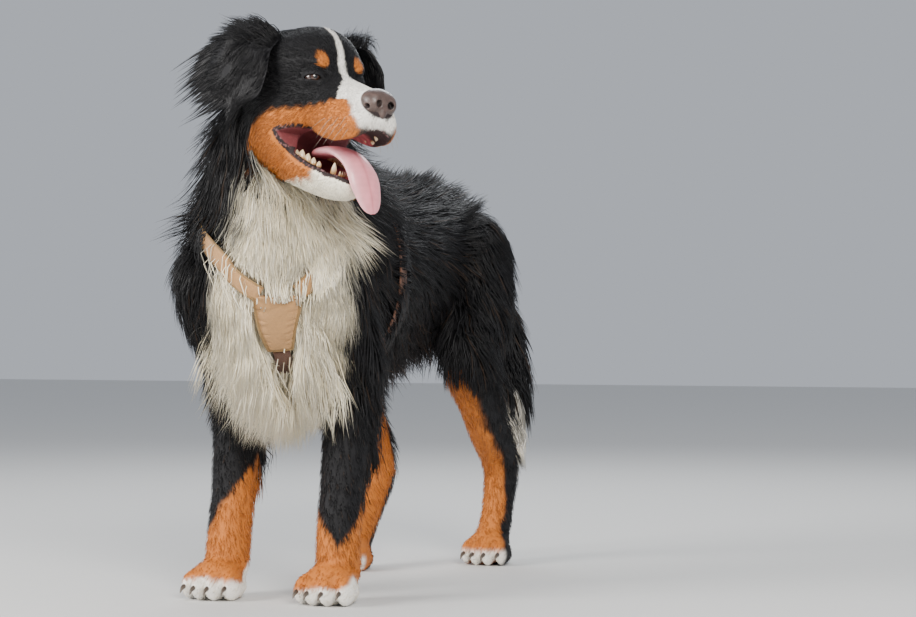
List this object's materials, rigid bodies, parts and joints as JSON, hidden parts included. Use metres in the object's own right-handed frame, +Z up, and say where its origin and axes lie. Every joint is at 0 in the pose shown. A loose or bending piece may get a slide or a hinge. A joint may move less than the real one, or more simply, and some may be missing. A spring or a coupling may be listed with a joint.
{
  "type": "bernese mountain dog, life-size still model",
  "caption": "Large long-coated black, rust and white dog standing on four feet, head turned to its left, mouth open, in a soft chest harness.",
  "frame": {"origin": "on the floor, under the middle of the dog's box", "axes": "+Z up from the floor, -Y the way the dog faces, +X towards the dog's left side"},
  "size_m": [0.4683, 1.0148, 0.8796],
  "materials": {
    "black_coat": "long glossy hair",
    "rust_coat": "hair",
    "white_coat": "long soft hair",
    "nose_leather": "moist pebbled skin",
    "eye": "wet",
    "tongue": "moist",
    "harness_cloth": "soft padded cloth",
    "harness_webbing": "flat webbing"
  },
  "bodies": {
    "root": {"eye_left": "eye", "eye_right": "eye", "nose": "nose_leather", "tongue": "tongue", "jaw": "rust_coat", "head": "black_coat", "ear_left": "black_coat", "ear_right": "black_coat", "neck": "black_coat", "torso": "black_coat", "upper_arm_left": "black_coat", "upper_arm_right": "black_coat", "forearm_left": "black_coat", "forearm_right": "black_coat", "forepaw_left": "white_coat", "forepaw_right": "white_coat", "thigh_left": "black_coat", "thigh_right": "black_coat", "shank_left": "black_coat", "shank_right": "black_coat", "hindpaw_left": "rust_coat", "hindpaw_right": "rust_coat", "tail_base": "black_coat", "tail_tip": "black_coat", "harness_plate": "harness_cloth", "harness_strap_left": "harness_cloth", "harness_strap_right": "harness_cloth", "harness_breast_strap": "harness_webbing", "harness_back": "harness_cloth", "harness_girth_left": "harness_webbing", "harness_girth_right": "harness_webbing"}
  },
  "joints": []
}
